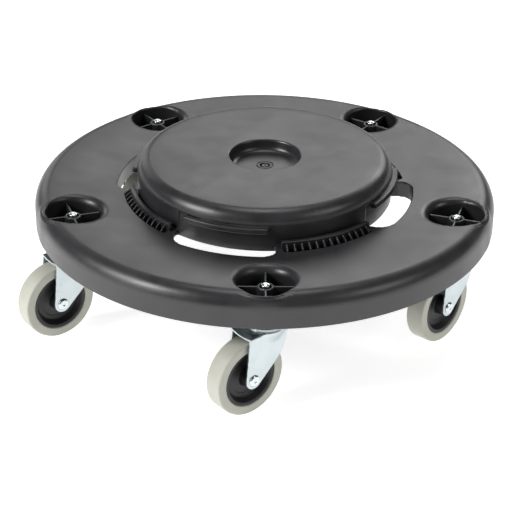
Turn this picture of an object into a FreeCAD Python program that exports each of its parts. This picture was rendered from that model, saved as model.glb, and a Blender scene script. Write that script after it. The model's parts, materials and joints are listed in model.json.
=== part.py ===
import FreeCAD, Part
import math
import os
import re

import Sketcher
from FreeCAD import Placement, Rotation, Vector

# Five-caster rolling dolly for a round container.
# +Z is up, the origin is on the floor under the centre of the deck, sizes are in millimetres.

DIMENSIONS = {
    # Moulded deck: a dished disc with a rolled rim and a hollow raised hub.
    "deck_radius": 231.8,
    "rim_height": 131.6,
    "rim_round": 15.5,
    "skirt_edge": 97.9,
    "skirt_low": 98.9,
    "dish_radius": 150.0,
    "dish_height": 128.2,
    "wall": 4.5,
    "hub_radius": 128.2,
    "hub_height": 162.6,
    "hub_round": 11.0,
    "recess_radius": 35.8,
    "recess_taper": 2.5,
    "recess_height": 151.0,
    "recess_lip": 1.5,
    "recess_corner": 4.5,
    # Moulding gate in the recess floor: a small round well with a stub left standing in it.
    "gate_radius": 5.3,
    "gate_depth": 2.6,
    "stub_radius": 3.8,
    # Arc slots beside the hub, with the bayonet lugs above them.
    "slot_span": 44.6,
    "slot_wall_low": 111.0,
    "slot_wall": 3.5,
    "slot_corner": 15.0,
    "lug_radius": 133.6,
    "lug_span": 38.0,
    "lug_low": 142.5,
    "lug_high": 148.0,
    # Toothed rails between the slots.
    "rail_span": 41.0,
    "rail_inner": 131.5,
    "rail_outer": 136.5,
    "rail_height": 135.6,
    "tooth_count": 13.0,
    "tooth_pitch": 3.04,
    "tooth_reach": 142.8,
    "tooth_width": 2.6,
    "tooth_height": 133.4,
    # Caster wells: a flared bowl, a tube, and a spider of four ribs round the stem boss.
    "caster_circle": 198.5,
    "well_bore": 27.0,
    "well_tube": 30.6,
    "collar_radius": 29.4,
    "collar_high": 130.0,
    "flare_foot": 121.0,
    "flare_high": 132.0,
    "flare_radius": 33.2,
    "flare_lean": 5.6,
    "flare_waist": 0.17,
    "well_floor": 2.5,
    "spider_height": 124.3,
    "spider_rib": 2.0,
    "boss_radius": 7.9,
    "stem_bore": 5.6,
    "tip_bore": 4.8,
    "tip_bore_low": 121.5,
    # Stiffening ribs under the deck.
    "rib": 3.0,
    "hub_rib_low": 124.2,
    "skirt_rib_low": 104.0,
    # Stem, grip ring and swivel races.
    "stem_radius": 5.5,
    "stem_top": 127.1,
    "tip_radius": 4.4,
    "tip_low": 119.5,
    "groove_radius": 4.5,
    "groove_low": 112.0,
    "groove_high": 117.5,
    "ring_radius": 5.58,
    "ring_gap": 1.2,
    "flange_radius": 9.0,
    "flange_thick": 2.4,
    "rivet_radius": 7.6,
    "rivet_low": 78.2,
    "rivet_high": 80.2,
    "cup_top": 96.4,
    "cup_low": 88.0,
    "cup_radius": 22.0,
    "cup_thick": 1.5,
    "washer_radius": 11.3,
    "washer_thick": 1.6,
    # Bearing balls.
    "ball_radius": 2.0,
    "upper_circle": 14.0,
    "upper_count": 14.0,
    "lower_circle": 8.9,
    "lower_count": 9.0,
    # Fork: two legs, a flat shelf and a raised raceway.
    "fork_width": 29.0,
    "fork_thick": 2.4,
    "shelf_height": 84.0,
    "raceway_height": 88.6,
    "raceway_foot": 19.6,
    "raceway_head": 17.8,
    "fork_bore": 6.0,
    "trail": 24.0,
    "shelf_tail": 28.6,
    "shelf_nose": 17.6,
    "knee_reach": 8.2,
    "knee_height": 56.4,
    "leg_round": 8.9,
    "bend_round": 2.0,
    # Axle bolt, sleeve and nut.
    "axle_radius": 4.0,
    "sleeve_radius": 5.5,
    "sleeve_play": 0.05,
    "head_radius": 5.9,
    "head_height": 2.2,
    "head_socket": 1.7,
    "head_socket_depth": 1.1,
    "nut_across": 13.0,
    "nut_thick": 5.6,
    "nut_shoulder": 6.3,
    "bolt_end": 1.2,
    # Wheel: a dished core with a moulded tyre.
    "wheel_radius": 38.1,
    "tyre_width": 19.5,
    "tyre_round": 1.8,
    "core_radius": 28.6,
    "core_inset": 0.5,
    "rim_inner": 25.4,
    "web_outer": 22.6,
    "web_thick": 5.0,
    "hub_outer": 9.6,
    "hub_tip": 8.6,
    "hub_width": 23.0,
}

# Where each caster stands round the deck, and which way its wheel trails from its stem, in degrees.
CASTERS = {
    "front": (-90.0, -141.0),
    "left": (-162.0, -144.0),
    "back_left": (126.0, -124.5),
    "back_right": (54.0, -138.0),
    "right": (-18.0, -131.5),
}
# Each quarter of the hub has one slot with its lug, then one toothed rail.
# The wall under a slot begins a little after the slot does, so that end is open below.
SLOT_STARTS = (49.7, 139.7, 229.7, 319.7)
RAIL_GAP = 46.8
TOOTH_GAP = 48.9
LUG_GAP = 3.8
WALL_GAP = 3.0
HUB_RIBS = 8

doc = FreeCAD.newDocument("container_dolly")
sheet = doc.addObject("Spreadsheet::Sheet", "size")
for row, (alias, value) in enumerate(DIMENSIONS.items(), start=1):
    sheet.set(f"A{row}", alias)
    sheet.set(f"B{row}", str(value))
    sheet.setAlias(f"B{row}", alias)
doc.recompute()

WORDS = re.compile(r"\b(" + "|".join(DIMENSIONS) + r")\b")
subparts = []


def from_sheet(formula):
    """The formula with each named dimension pointed at its cell."""
    return WORDS.sub(r"size.\1", str(formula))


def number(formula):
    """The formula's present value, worked out by the sheet."""
    return float(sheet.evalExpression(from_sheet(formula)))


def bind(thing, **formulas):
    """Binds properties of a document object to formulas over the sheet."""
    for name, formula in formulas.items():
        thing.setExpression(name, from_sheet(formula))


def place(thing, x="0", y="0", low="0"):
    """Binds an object's position to formulas over the sheet."""
    for letter, formula in zip("xyz", (x, y, low)):
        thing.setExpression(f"Placement.Base.{letter}", from_sheet(formula))


def keep(thing, label):
    """Names an object as one physical piece of the dolly."""
    thing.Label = label
    subparts.append(thing)
    return thing


# ---- building blocks -------------------------------------------------------------------------


def cylinder(name, radius, low, high, x="0", y="0", start=0.0, sector="360"):
    """An upright cylinder, or a sector of one that starts at an angle."""
    made = doc.addObject("Part::Cylinder", name)
    made.Placement = Placement(Vector(), Rotation(Vector(0, 0, 1), start))
    bind(made, Radius=radius, Height=f"({high}) - ({low})", Angle=sector)
    place(made, x, y, low)
    return made


def ring(name, outer, inner, low, high, start=0.0, sector="360"):
    """An arc-shaped wall between two radii about the deck's axis."""
    whole = cylinder(f"{name}_outer", outer, low, high, start=start, sector=sector)
    core = cylinder(f"{name}_inner", inner, f"({low}) - 1", f"({high}) + 1")
    return cut(name, whole, core)


def bar(name, near, far, thick, low, high, turn, x="0", y="0"):
    """An upright rib that runs outward from a point, at an angle."""
    made = doc.addObject("Part::Box", name)
    made.Placement = Placement(Vector(), Rotation(Vector(0, 0, 1), number(turn)))
    bind(made, Length=f"({far}) - ({near})", Width=thick, Height=f"({high}) - ({low})")
    along = f"({near}) * cos({turn}) + ({thick}) / 2 * sin({turn})"
    across = f"({near}) * sin({turn}) - ({thick}) / 2 * cos({turn})"
    place(made, f"{x} + {along}", f"{y} + {across}", low)
    return made


def fuse(name, pieces):
    made = doc.addObject("Part::MultiFuse", name)
    made.Shapes = list(pieces)
    return made


def cut(name, base, tool):
    made = doc.addObject("Part::Cut", name)
    made.Base = base
    made.Tool = tool
    return made


def body_named(name):
    return doc.addObject("PartDesign::Body", name)


def sketch_on(body, name, plane):
    """An empty sketch on one of the body's own origin planes."""
    sketch = body.newObject("Sketcher::SketchObject", name)
    flat = next(p for p in body.Origin.OriginFeatures if p.Role == plane)
    sketch.AttachmentSupport = [(flat, "")]
    sketch.MapMode = "FlatFace"
    return sketch


def fix_point(sketch, edge, end, across, up):
    """Ties one end of a sketch edge to formulas for its place."""
    for kind, formula in (("DistanceX", across), ("DistanceY", up)):
        limit = Sketcher.Constraint(kind, -1, 1, edge, end, number(formula))
        at = sketch.addConstraint(limit)
        sketch.setExpression(f"Constraints[{at}]", from_sheet(formula))


def outline(body, name, plane, corners):
    """A closed sketch of straight edges, each corner tied to the sheet."""
    sketch = sketch_on(body, name, plane)
    points = [Vector(number(across), number(up), 0) for across, up in corners]
    for here, after in zip(points, points[1:] + points[:1]):
        sketch.addGeometry(Part.LineSegment(here, after), False)
    for index in range(len(points)):
        after = (index + 1) % len(points)
        sketch.addConstraint(Sketcher.Constraint("Coincident", index, 2, after, 1))
    for index, (across, up) in enumerate(corners):
        fix_point(sketch, index, 1, across, up)
    return sketch


def turned(body, name, corners):
    """A solid turned about Z from an outline in the XZ plane."""
    sketch = outline(body, f"{name}_profile", "XZ_Plane", corners)
    made = body.newObject("PartDesign::Revolution", name)
    made.Profile = sketch
    made.ReferenceAxis = (sketch, ["V_Axis"])
    made.Angle = 360.0
    doc.recompute()
    return made


def rims(feature, *rings):
    """Names of the feature's circular edges with the given radius and height."""
    found = []
    for index, edge in enumerate(feature.Shape.Edges, start=1):
        curve = edge.Curve
        if not isinstance(curve, Part.Circle):
            continue
        for radius, height in rings:
            near = abs(curve.Radius - number(radius)) < 0.05
            level = abs(curve.Center.z - number(height)) < 0.05
            if near and level:
                found.append(f"Edge{index}")
    return found


def rounded(body, name, feature, radius, edges):
    made = body.newObject("PartDesign::Fillet", name)
    made.Base = (feature, edges)
    bind(made, Radius=radius)
    doc.recompute()
    return made


# ---- the moulded deck ------------------------------------------------------------------------


def deck_shell():
    """The dished disc, its rolled rim and skirt, and the hollow hub with its centre recess."""
    body = body_named("deck_shell")
    inside = "(deck_radius - wall)"
    floor = "(recess_radius - recess_taper)"
    ceiling = "(hub_height - wall)"
    corners = [
        ("0", "recess_height"),
        (floor, "recess_height"),
        ("recess_radius", "hub_height"),
        ("hub_radius", "hub_height"),
        ("hub_radius", "dish_height"),
        ("dish_radius", "dish_height"),
        ("deck_radius - rim_round", "rim_height"),
        ("deck_radius", "rim_height"),
        ("deck_radius", "skirt_edge"),
        (inside, "skirt_edge"),
        (inside, "rim_height - wall"),
        ("deck_radius - rim_round", "rim_height - wall"),
        ("dish_radius", "dish_height - wall"),
        ("hub_radius - wall", "dish_height - wall"),
        ("hub_radius - wall", ceiling),
        ("recess_radius + wall", ceiling),
        (f"{floor} + wall", "recess_height - wall"),
        ("0", "recess_height - wall"),
    ]
    shell = turned(body, "shell", corners)
    rim = rims(shell, ("deck_radius", "rim_height"))
    shell = rounded(body, "rim_rounding", shell, "rim_round", rim)
    under = rims(shell, (inside, "rim_height - wall"))
    shell = rounded(body, "rim_underside", shell, "rim_round - wall", under)
    edge = rims(shell, ("hub_radius", "hub_height"))
    shell = rounded(body, "hub_rounding", shell, "hub_round", edge)
    under = rims(shell, ("hub_radius - wall", ceiling))
    shell = rounded(body, "hub_underside", shell, "hub_round - wall", under)
    corner = rims(shell, (floor, "recess_height"))
    shell = rounded(body, "recess_foot", shell, "recess_corner", corner)
    lip = rims(shell, ("recess_radius", "hub_height"))
    rounded(body, "recess_rounding", shell, "recess_lip", lip)
    return body


def slot_features(start):
    """The walls that hang along one slot and across its far end, and the lug over it."""
    tag = f"{start:.0f}"
    low = "slot_wall_low"
    high = "dish_height - 1"
    wall = ring(
        f"slot_wall_{tag}",
        "dish_radius + slot_wall",
        "dish_radius",
        low,
        high,
        start + WALL_GAP,
        f"slot_span - {WALL_GAP}",
    )
    reach = ("hub_radius - 1", "dish_radius + slot_wall - 0.2")
    end = bar(f"slot_end_{tag}", *reach, "slot_wall", low, high, f"{start} + slot_span + 0.7")
    lug = ring(
        f"lug_{tag}", "lug_radius", "hub_radius - 1", "lug_low", "lug_high", start + LUG_GAP, "lug_span"
    )
    return [wall, end, lug]


def rail_features(start):
    """One raised rail on the dish, with its row of teeth pointing outward."""
    tag = f"{start:.0f}"
    low = "dish_height - 1"
    rail = ring(
        f"rail_{tag}", "rail_outer", "rail_inner", low, "rail_height", start + RAIL_GAP, "rail_span"
    )
    teeth = []
    for index in range(int(number("tooth_count"))):
        turn = f"({start + TOOTH_GAP} + {index} * tooth_pitch)"
        teeth.append(
            bar(
                f"tooth_{tag}_{index}",
                "rail_outer - 0.5",
                "tooth_reach",
                "tooth_width",
                low,
                "tooth_height",
                turn,
            )
        )
    return [rail] + teeth


def slot_tool(start):
    """What one slot takes out: an arc with its two outer corners rounded."""
    name = f"slot_{start:.0f}"
    low = "slot_wall_low - 2"
    sector = ring(f"{name}_square", "dish_radius", "hub_radius", low, "rim_height + 2", start, "slot_span")
    doc.recompute()
    outer = number("dish_radius")
    corners = []
    for index, edge in enumerate(sector.Shape.Edges, start=1):
        reaches = [math.hypot(v.X, v.Y) for v in edge.Vertexes]
        if edge.BoundBox.ZLength > 10 and all(abs(reach - outer) < 0.01 for reach in reaches):
            corners.append((index, number("slot_corner"), number("slot_corner")))
    made = doc.addObject("Part::Fillet", name)
    made.Base = sector
    made.Edges = corners
    return made


def gate_mark():
    """The ring-shaped hollow that the gate leaves round its stub."""
    hollow = cylinder("gate_hollow", "gate_radius", "recess_height - gate_depth", "recess_height + 1")
    stub = cylinder("gate_stub", "stub_radius", "recess_height - gate_depth - 1", "recess_height + 2")
    return cut("gate_mark", hollow, stub)


def in_slot(angle):
    return any(0 <= (angle - start) % 360 <= number("slot_span") for start in SLOT_STARTS)


def underside_ribs():
    """Radial ribs inside the hub and between the hub and the skirt."""
    ribs = []
    for index in range(HUB_RIBS):
        turn = 360 / HUB_RIBS * (index + 0.5)
        ribs.append(
            bar(
                f"hub_rib_{index}",
                "recess_radius + 1",
                "hub_radius - wall + 0.5",
                "rib",
                "hub_rib_low",
                "hub_height - wall + 1",
                turn,
            )
        )
    for index, (angle, _) in enumerate(CASTERS.values()):
        for kind, turn in (("well", angle), ("bay", angle + 36)):
            near = "dish_radius + slot_wall - 1" if in_slot(turn) else "hub_radius - 1"
            far = "caster_circle - well_bore - 2" if kind == "well" else "deck_radius - wall + 0.5"
            ribs.append(
                bar(f"{kind}_rib_{index}", near, far, "rib", "skirt_rib_low", "dish_height - 2", turn)
            )
    return ribs


def well_centre(angle):
    return f"caster_circle * cos({angle})", f"caster_circle * sin({angle})"


def bowl_tool(index, angle, x, y):
    """What a well takes out of the deck: its bore, and a flare that leans towards the hub."""
    bore = cylinder(f"well_bore_{index}", "well_bore", "skirt_low - 5", "rim_height + 5", x, y)
    levels = (
        ("0", "flare_foot"),
        ("flare_waist", "(flare_foot + flare_high) / 2"),
        ("1", "flare_high"),
    )
    hoops = []
    for share, height in levels:
        hoop = doc.addObject("Part::Circle", f"flare_hoop_{index}")
        bind(hoop, Radius=f"well_bore + (flare_radius - well_bore) * {share}")
        lean = f"flare_lean * {share}"
        place(hoop, f"{x} - {lean} * cos({angle})", f"{y} - {lean} * sin({angle})", height)
        hoops.append(hoop)
    flare = doc.addObject("Part::Loft", f"flare_{index}")
    flare.Sections = hoops
    flare.Solid = True
    return fuse(f"bowl_{index}", [bore, flare])


def spider(index, angle, x, y):
    """The well's floor, the stem boss on it, and the four thin ribs that hold the boss."""
    floor = cylinder(
        f"well_floor_{index}", "well_bore + 1", "skirt_low", "skirt_low + well_floor", x, y
    )
    boss = cylinder(f"boss_{index}", "boss_radius", "skirt_low", "spider_height", x, y)
    ribs = [
        bar(
            f"spider_{index}_{step}",
            "boss_radius - 1",
            "well_bore + 1",
            "spider_rib",
            "skirt_low",
            "spider_height",
            angle + 90 * step,
            x,
            y,
        )
        for step in range(4)
    ]
    return [floor, boss] + ribs


def deck():
    """The whole moulding, as one piece."""
    added = [deck_shell()] + underside_ribs()
    for start in SLOT_STARTS:
        added += slot_features(start) + rail_features(start)
    bowls, spiders, bores = [], [], []
    for index, (angle, _) in enumerate(CASTERS.values()):
        x, y = well_centre(angle)
        added.append(cylinder(f"well_tube_{index}", "well_tube", "skirt_low", "flare_foot", x, y))
        collar = cylinder(f"well_collar_{index}", "collar_radius", "flare_foot - 1", "collar_high", x, y)
        added.append(collar)
        bowls.append(bowl_tool(index, angle, x, y))
        spiders += spider(index, angle, x, y)
        bores.append(cylinder(f"bore_{index}", "stem_bore", "skirt_low - 1", "tip_bore_low", x, y))
        bores.append(cylinder(f"tip_bore_{index}", "tip_bore", "skirt_low", "spider_height + 1", x, y))
    slots = [slot_tool(start) for start in SLOT_STARTS]
    blank = fuse("deck_blank", added)
    opened = cut("deck_opened", blank, fuse("deck_openings", bowls + slots + [gate_mark()]))
    held = fuse("deck_with_bosses", [opened] + spiders)
    return keep(cut("deck_bored", held, fuse("stem_bores", bores)), "deck")


# ---- casters ---------------------------------------------------------------------------------


def stand_upright(thing, angle, heading):
    """Puts a piece modelled about the stem's axis at its caster, facing the way the wheel trails."""
    thing.Placement = Placement(Vector(), Rotation(Vector(0, 0, 1), heading))
    place(thing, *well_centre(angle))


def stand_on_axle(thing, angle, heading):
    """Puts a piece modelled about Z on the axle, which lies across the trail."""
    upright = Rotation(Vector(0, 0, 1), heading)
    thing.Placement = Placement(Vector(), upright.multiply(Rotation(Vector(1, 0, 0), -90)))
    x, y = well_centre(angle)
    place(thing, f"{x} + trail * cos({heading})", f"{y} + trail * sin({heading})", "wheel_radius")


def stem(name):
    """Stem with a domed tip, a groove for its grip ring, a flange, and a headed-over lower end."""
    body = body_named(name)
    corners = [
        ("0", "rivet_low"),
        ("rivet_radius - 1.6", "rivet_low"),
        ("rivet_radius", "rivet_high - 0.6"),
        ("rivet_radius", "rivet_high"),
        ("stem_radius", "rivet_high"),
        ("stem_radius", "skirt_low - flange_thick"),
        ("flange_radius", "skirt_low - flange_thick"),
        ("flange_radius", "skirt_low"),
        ("stem_radius", "skirt_low"),
        ("stem_radius", "groove_low"),
        ("groove_radius", "groove_low"),
        ("groove_radius", "groove_high"),
        ("stem_radius", "groove_high"),
        ("stem_radius", "tip_low"),
        ("tip_radius", "tip_low + 1.4"),
        ("tip_radius", "stem_top"),
        ("0", "stem_top"),
    ]
    made = turned(body, f"{name}_turned", corners)
    rounded(body, f"{name}_tip", made, "1.5", rims(made, ("tip_radius", "stem_top")))
    return body


def grip_ring(name):
    """Split spring ring that sits in the stem's groove and grips the boss."""
    whole = cylinder(f"{name}_outer", "ring_radius", "groove_low + 0.1", "groove_high - 0.1")
    inner = cylinder(f"{name}_inner", "groove_radius + 0.05", "groove_low", "groove_high")
    split = doc.addObject("Part::Box", f"{name}_split")
    bind(split, Length="stem_radius * 2", Width="ring_gap", Height="groove_high - groove_low + 2")
    place(split, "0", "-ring_gap / 2", "groove_low - 1")
    return cut(f"{name}_cut", whole, fuse(f"{name}_removed", [inner, split]))


def race_cup(name):
    """Pressed cup under the deck: upper track of the balls and a skirt that keeps dust off them."""
    body = body_named(name)
    corners = [
        ("stem_radius + 0.05", "cup_top"),
        ("upper_circle - 3", "cup_top"),
        ("upper_circle + 0.6", "cup_top - 1.8"),
        ("cup_radius - 2.5", "cup_top - 3.6"),
        ("cup_radius", "cup_top - 6"),
        ("cup_radius", "cup_low"),
        ("cup_radius - cup_thick", "cup_low"),
        ("cup_radius - cup_thick", "cup_top - 6.6"),
        ("cup_radius - 3.1", "cup_top - 5.1"),
        ("upper_circle", "cup_top - 3.3"),
        ("upper_circle - 3.4", "cup_top - cup_thick"),
        ("stem_radius + 0.05", "cup_top - cup_thick"),
    ]
    turned(body, f"{name}_turned", corners)
    return body


def race_washer(name):
    """Flat lower track, held by the headed-over end of the stem."""
    body = body_named(name)
    corners = [
        ("stem_radius + 0.05", "rivet_high"),
        ("washer_radius", "rivet_high"),
        ("washer_radius", "rivet_high + washer_thick"),
        ("stem_radius + 0.05", "rivet_high + washer_thick"),
    ]
    turned(body, f"{name}_turned", corners)
    return body


def bearing_balls(name):
    """Both circles of loose balls, above and below the fork's raceway."""
    upper = "raceway_height + ball_radius + 0.2"
    lower = "rivet_high + washer_thick + ball_radius + 0.2"
    balls = []
    for track, circle, count, height in (
        ("upper", "upper_circle", "upper_count", upper),
        ("lower", "lower_circle", "lower_count", lower),
    ):
        for index in range(int(number(count))):
            ball = doc.addObject("Part::Sphere", f"{name}_{track}_{index}")
            bind(ball, Radius="ball_radius")
            turn = f"({index} * 360 / {count})"
            place(ball, f"{circle} * cos({turn})", f"{circle} * sin({turn})", height)
            balls.append(ball)
    group = doc.addObject("Part::Compound", f"{name}_group")
    group.Links = balls
    return group


def tangent_point(from_x, from_z, centre_x, centre_z, radius, side):
    """Where a line from a point touches a circle, on the chosen side."""
    away_x, away_z = from_x - centre_x, from_z - centre_z
    distance = math.hypot(away_x, away_z)
    swing = math.acos(radius / distance) * side
    base = math.atan2(away_z, away_x) + swing
    return Vector(centre_x + radius * math.cos(base), centre_z + radius * math.sin(base), 0), base


def leg_outline(body, name):
    """Side view of the fork: straight edges down to a round end about the axle."""
    sketch = sketch_on(body, name, "XZ_Plane")
    tail = (number("shelf_tail"), number("shelf_height"))
    nose = (-number("shelf_nose"), number("shelf_height"))
    knee = (-number("knee_reach"), number("knee_height"))
    centre = (number("trail"), number("wheel_radius"))
    radius = number("leg_round")
    front, front_angle = tangent_point(*tail, *centre, radius, -1)
    rear, rear_angle = tangent_point(*knee, *centre, radius, 1)
    circle = Part.Circle(Vector(*centre, 0), Vector(0, 0, 1), radius)
    sketch.addGeometry(Part.LineSegment(Vector(*tail, 0), front), False)
    sketch.addGeometry(Part.ArcOfCircle(circle, rear_angle, front_angle), False)
    sketch.addGeometry(Part.LineSegment(rear, Vector(*knee, 0)), False)
    sketch.addGeometry(Part.LineSegment(Vector(*knee, 0), Vector(*nose, 0)), False)
    sketch.addGeometry(Part.LineSegment(Vector(*nose, 0), Vector(*tail, 0)), False)
    sketch.addConstraint(Sketcher.Constraint("Tangent", 0, 2, 1, 2))
    sketch.addConstraint(Sketcher.Constraint("Tangent", 1, 1, 2, 1))
    for first, after in ((2, 3), (3, 4), (4, 0)):
        sketch.addConstraint(Sketcher.Constraint("Coincident", first, 2, after, 1))
    at = sketch.addConstraint(Sketcher.Constraint("Radius", 1, radius))
    sketch.setExpression(f"Constraints[{at}]", from_sheet("leg_round"))
    fix_point(sketch, 0, 1, "shelf_tail", "shelf_height")
    fix_point(sketch, 3, 1, "-knee_reach", "knee_height")
    fix_point(sketch, 4, 1, "-shelf_nose", "shelf_height")
    fix_point(sketch, 1, 3, "trail", "wheel_radius")
    return sketch


def fork(name):
    """Pressed fork: two legs under a flat shelf, with a raised round raceway about the stem."""
    body = body_named(f"{name}_sheet")
    made = body.newObject("PartDesign::Pad", f"{name}_block")
    made.Profile = leg_outline(body, f"{name}_side")
    made.Midplane = True
    bind(made, Length="fork_width")
    doc.recompute()
    bends = [
        f"Edge{index}"
        for index, edge in enumerate(made.Shape.Edges, start=1)
        if abs(edge.BoundBox.ZMin - number("shelf_height")) < 0.01
        and abs(edge.BoundBox.ZMax - number("shelf_height")) < 0.01
        and edge.BoundBox.XLength > 10
    ]
    rounded(body, f"{name}_bends", made, "bend_round", bends)

    half = "(fork_width / 2 - fork_thick)"
    inside = doc.addObject("Part::Box", f"{name}_inside")
    bind(inside, Length="200", Width=f"{half} * 2", Height="shelf_height - fork_thick")
    place(inside, "-100", f"-{half}", "0")
    crown = cylinder(f"{name}_crown", "raceway_head - fork_thick", "shelf_height - 8", "raceway_height + 1")
    holes = doc.addObject("Part::Cylinder", f"{name}_axle_holes")
    holes.Placement = Placement(Vector(), Rotation(Vector(1, 0, 0), -90))
    bind(holes, Radius="axle_radius + sleeve_play", Height="fork_width + 2")
    place(holes, "trail", "-fork_width / 2 - 1", "wheel_radius")
    legs = cut(f"{name}_legs", body, fuse(f"{name}_removed", [inside, crown, holes]))

    raceway = body_named(f"{name}_raceway")
    corners = [
        ("raceway_foot", "shelf_height - fork_thick"),
        ("raceway_foot", "shelf_height - 0.6"),
        ("raceway_head", "raceway_height"),
        ("fork_bore", "raceway_height"),
        ("fork_bore", "raceway_height - fork_thick"),
        ("raceway_head - fork_thick", "raceway_height - fork_thick"),
        ("raceway_head - fork_thick", "shelf_height - fork_thick"),
    ]
    turned(raceway, f"{name}_turned", corners)
    return fuse(f"{name}_pressed", [legs, raceway])


def axle_bolt(name):
    """Bolt with a low domed head, drawn along Z with the head up."""
    body = body_named(name)
    seat = "fork_width / 2"
    top = "fork_width / 2 + head_height"
    end = "-(fork_width / 2 + nut_thick + bolt_end)"
    corners = [
        ("0", f"{top} - head_socket_depth"),
        ("head_socket", f"{top} - head_socket_depth"),
        ("head_socket", top),
        ("head_radius", top),
        ("head_radius", seat),
        ("axle_radius", seat),
        ("axle_radius", f"{end} + 0.8"),
        ("axle_radius - 0.8", end),
        ("0", end),
    ]
    made = turned(body, f"{name}_turned", corners)
    rounded(body, f"{name}_dome", made, "head_height - 0.3", rims(made, ("head_radius", top)))
    return body


def axle_sleeve(name):
    """Steel spacer tube that the wheel turns on, nipped between the fork's legs."""
    body = body_named(name)
    end = "fork_width / 2 - fork_thick - sleeve_play"
    bore = "axle_radius + sleeve_play"
    corners = [
        (bore, f"-({end})"),
        ("sleeve_radius", f"-({end})"),
        ("sleeve_radius", end),
        (bore, end),
    ]
    turned(body, f"{name}_turned", corners)
    return body


def axle_nut(name):
    """Hexagon lock nut with a round collar, on the bolt's far end."""
    seat = "-fork_width / 2"
    hexagon = doc.addObject("Part::Prism", f"{name}_hexagon")
    hexagon.Polygon = 6
    bind(hexagon, Circumradius="nut_across / sqrt(3)", Height="nut_thick - 1.4")
    place(hexagon, low=f"{seat} - nut_thick + 1.4")
    faced = cylinder(f"{name}_faced", "nut_across / 2 + 0.55", f"{seat} - nut_thick", seat)
    common = doc.addObject("Part::MultiCommon", f"{name}_flats")
    common.Shapes = [hexagon, faced]
    collar = cylinder(f"{name}_collar", "nut_shoulder - 0.6", f"{seat} - nut_thick", f"{seat} - 1")
    bore = cylinder(f"{name}_bore", "axle_radius", f"{seat} - nut_thick - 1", f"{seat} + 1")
    return cut(f"{name}_tapped", fuse(f"{name}_solid", [common, collar]), bore)


def wheel_core(name):
    """Black moulded core: hub on the sleeve, a thin web, and a rim that carries the tyre."""
    body = body_named(name)
    face = "(tyre_width / 2 - core_inset)"
    side = [
        ("sleeve_radius + sleeve_play", "hub_width / 2"),
        ("hub_tip", "hub_width / 2"),
        ("hub_outer", "web_thick / 2"),
        ("web_outer", "web_thick / 2"),
        ("rim_inner", face),
        ("core_radius", face),
    ]
    other = [(across, f"-({up})") for across, up in reversed(side)]
    turned(body, f"{name}_turned", side + other)
    return body


def tyre(name):
    """Soft tread moulded on the core, with rounded shoulders."""
    body = body_named(name)
    face = "tyre_width / 2"
    corners = [
        ("core_radius", f"-{face}"),
        ("wheel_radius", f"-{face}"),
        ("wheel_radius", face),
        ("core_radius", face),
    ]
    made = turned(body, f"{name}_turned", corners)
    shoulders = rims(made, ("wheel_radius", face), ("wheel_radius", f"-{face}"))
    rounded(body, f"{name}_shoulders", made, "tyre_round", shoulders)
    return body


def caster(corner, angle, heading):
    """Every piece of one caster."""
    upright = {
        "stem": stem,
        "grip_ring": grip_ring,
        "race_cup": race_cup,
        "race_washer": race_washer,
        "bearing_balls": bearing_balls,
        "fork": fork,
    }
    on_axle = {
        "axle_bolt": axle_bolt,
        "axle_sleeve": axle_sleeve,
        "axle_nut": axle_nut,
        "wheel_core": wheel_core,
        "tyre": tyre,
    }
    for kinds, stand in ((upright, stand_upright), (on_axle, stand_on_axle)):
        for kind, make in kinds.items():
            label = f"{corner}_{kind}"
            piece = make(f"{label}_shape")
            stand(piece, angle, heading)
            keep(piece, label)


# ---- build, check and write ------------------------------------------------------------------

deck()
for corner, (angle, heading) in CASTERS.items():
    caster(corner, angle, heading)
doc.recompute()

for thing in doc.Objects:
    if {"Invalid", "Error"} & set(thing.State):
        raise SystemExit(f"{thing.Name} failed: {thing.State}")
for piece in subparts:
    if piece.Shape.isNull() or not piece.Shape.isValid() or not piece.Shape.Solids:
        raise SystemExit(f"{piece.Label} has no valid solid")

os.makedirs("parts", exist_ok=True)
for piece in subparts:
    piece.Shape.exportStep(f"parts/{piece.Label}.step")
    solids = len(piece.Shape.Solids)
    print(f"{piece.Label}: {solids} solid(s), {piece.Shape.Volume:.1f} mm3")
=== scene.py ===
import json
import math

import bpy
import numpy as np
from mathutils import Matrix, Vector


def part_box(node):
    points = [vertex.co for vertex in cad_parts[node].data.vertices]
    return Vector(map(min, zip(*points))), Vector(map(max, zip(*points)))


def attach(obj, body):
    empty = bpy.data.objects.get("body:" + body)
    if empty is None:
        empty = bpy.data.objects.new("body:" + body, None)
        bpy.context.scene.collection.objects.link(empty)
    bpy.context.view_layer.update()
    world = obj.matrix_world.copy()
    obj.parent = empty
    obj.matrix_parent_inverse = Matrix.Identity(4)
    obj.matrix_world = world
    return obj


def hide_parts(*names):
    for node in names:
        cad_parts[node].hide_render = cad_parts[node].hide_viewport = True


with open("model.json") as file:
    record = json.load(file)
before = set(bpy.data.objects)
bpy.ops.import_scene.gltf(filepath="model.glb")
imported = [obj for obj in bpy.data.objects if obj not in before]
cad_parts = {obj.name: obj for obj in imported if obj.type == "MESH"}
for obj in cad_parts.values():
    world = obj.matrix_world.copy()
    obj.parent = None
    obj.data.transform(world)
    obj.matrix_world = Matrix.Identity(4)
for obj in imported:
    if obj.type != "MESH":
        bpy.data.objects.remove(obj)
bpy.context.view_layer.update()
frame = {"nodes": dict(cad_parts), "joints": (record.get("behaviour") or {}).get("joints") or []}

# Five-caster container dolly: a moulded deck on five swivel casters.
# Shapes are worked out in millimetres and degrees, and laid down in metres.
MM = 0.001

# ---- sizes, from the frame and from the object's own driving dimensions ----------------------

DECK_LOW, DECK_HIGH = (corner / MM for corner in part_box("deck"))
DECK_RADIUS = (DECK_HIGH.x - DECK_LOW.x) / 2
SKIRT_EDGE = DECK_LOW.z
HUB_HEIGHT = DECK_HIGH.z

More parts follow.
